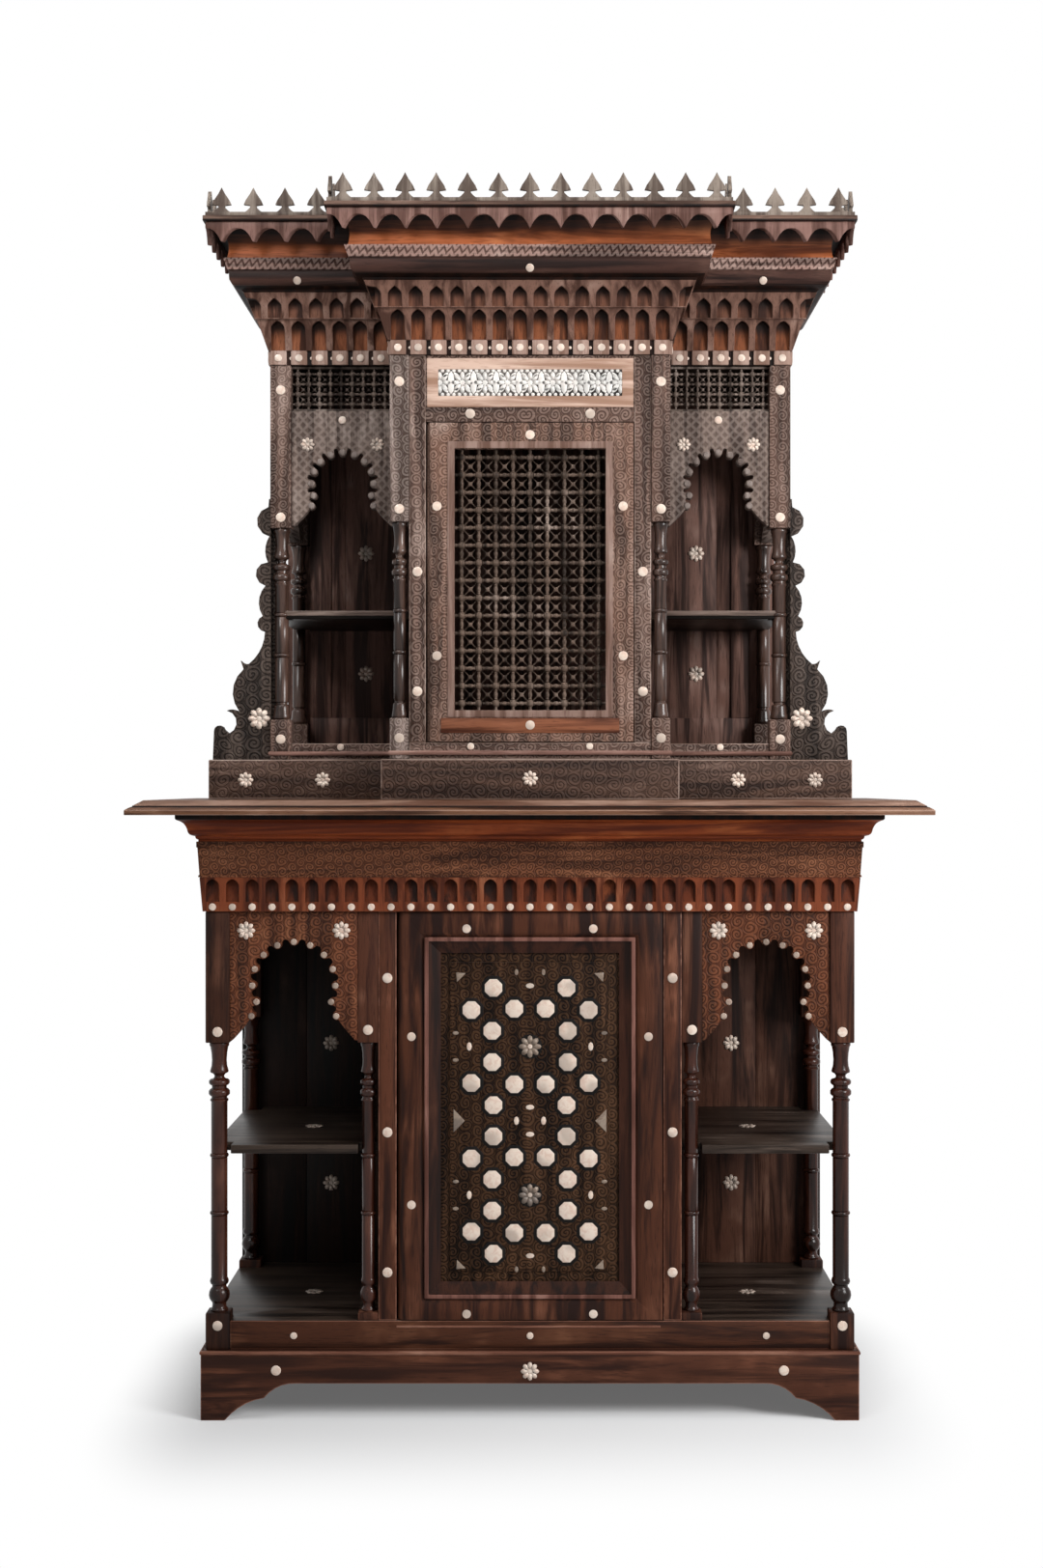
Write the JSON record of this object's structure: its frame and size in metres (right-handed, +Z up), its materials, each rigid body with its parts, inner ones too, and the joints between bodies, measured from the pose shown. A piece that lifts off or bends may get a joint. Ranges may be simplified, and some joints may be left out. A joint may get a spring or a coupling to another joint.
{
  "type": "inlaid cabinet",
  "caption": "Tall two-stage carved wood cabinet with an inlaid door, a lattice door, open side niches under cusped arches, turned posts, a stalactite cornice and a fretted cresting.",
  "frame": {"origin": "on the ground under the middle of the cabinet's box", "axes": "+Z up, +Y to the back, +X to the viewer's right, so the doors face -Y"},
  "size_m": [1.3016, 0.54, 2.052],
  "materials": {
    "red_walnut": "polished reddish dark walnut",
    "grey_walnut": "worn greyish brown walnut with shallow carving",
    "amber_walnut": "polished amber brown walnut",
    "dark_walnut": "near-black shellacked walnut",
    "pearl": "mother-of-pearl and bone inlay, polished",
    "iron": "dull dark iron"
  },
  "bodies": {
    "cabinet": {"plinth_front": "red_walnut", "plinth_left": "red_walnut", "plinth_right": "red_walnut", "plinth_back": "red_walnut", "lower_floor": "red_walnut", "lower_back": "dark_walnut", "lower_partition_left": "red_walnut", "lower_partition_right": "red_walnut", "lower_front_post_left": "red_walnut", "lower_front_post_right": "red_walnut", "lower_inner_post_left": "red_walnut", "lower_inner_post_right": "red_walnut", "lower_back_post_left": "red_walnut", "lower_back_post_right": "red_walnut", "lower_arch_left": "red_walnut", "lower_arch_right": "red_walnut", "lower_side_arch_left": "red_walnut", "lower_side_arch_right": "red_walnut", "lower_shelf_left": "dark_walnut", "lower_shelf_right": "dark_walnut", "lower_ceiling": "dark_walnut", "lower_frieze": "amber_walnut", "table_moulding": "amber_walnut", "tabletop": "red_walnut", "lower_pivot_foot": "iron", "lower_pivot_top": "iron", "upper_plinth": "grey_walnut", "upper_floor": "grey_walnut", "upper_back": "dark_walnut", "upper_partition_left": "grey_walnut", "upper_partition_right": "grey_walnut", "upper_front_post_left": "grey_walnut", "upper_front_post_right": "grey_walnut", "upper_inner_post_left": "grey_walnut", "upper_inner_post_right": "grey_walnut", "upper_back_post_left": "grey_walnut", "upper_back_post_right": "grey_walnut", "upper_arch_left": "grey_walnut", "upper_arch_right": "grey_walnut", "upper_side_arch_left": "grey_walnut", "upper_side_arch_right": "grey_walnut", "upper_shelf_left": "dark_walnut", "upper_shelf_right": "dark_walnut", "upper_ceiling": "dark_walnut", "side_bracket_left": "grey_walnut", "side_bracket_right": "grey_walnut", "upper_lattice_left": "grey_walnut", "upper_lattice_right": "grey_walnut", "upper_header": "grey_walnut", "upper_pivot_foot": "iron", "upper_pivot_top": "iron", "stalactite_frieze": "grey_walnut", "cornice_moulding": "amber_walnut", "cornice_top": "grey_walnut", "valance": "amber_walnut", "cresting": "grey_walnut"},
    "lower_door": {"lower_door_frame": "red_walnut", "lower_door_panel": "dark_walnut"},
    "upper_door": {"upper_door_frame": "grey_walnut", "upper_door_lattice": "dark_walnut"}
  },
  "joints": [
    {"name": "lower_door_pivot", "type": "hinge", "parent": "cabinet", "child": "lower_door", "pos_m": [-0.208, -0.146, 0.5024], "axis": [0, 0, -1], "range_deg": [0, 95]},
    {"name": "upper_door_pivot", "type": "hinge", "parent": "cabinet", "child": "upper_door", "pos_m": [-0.162, -0.101, 1.3924], "axis": [0, 0, -1], "range_deg": [0, 95]}
  ]
}
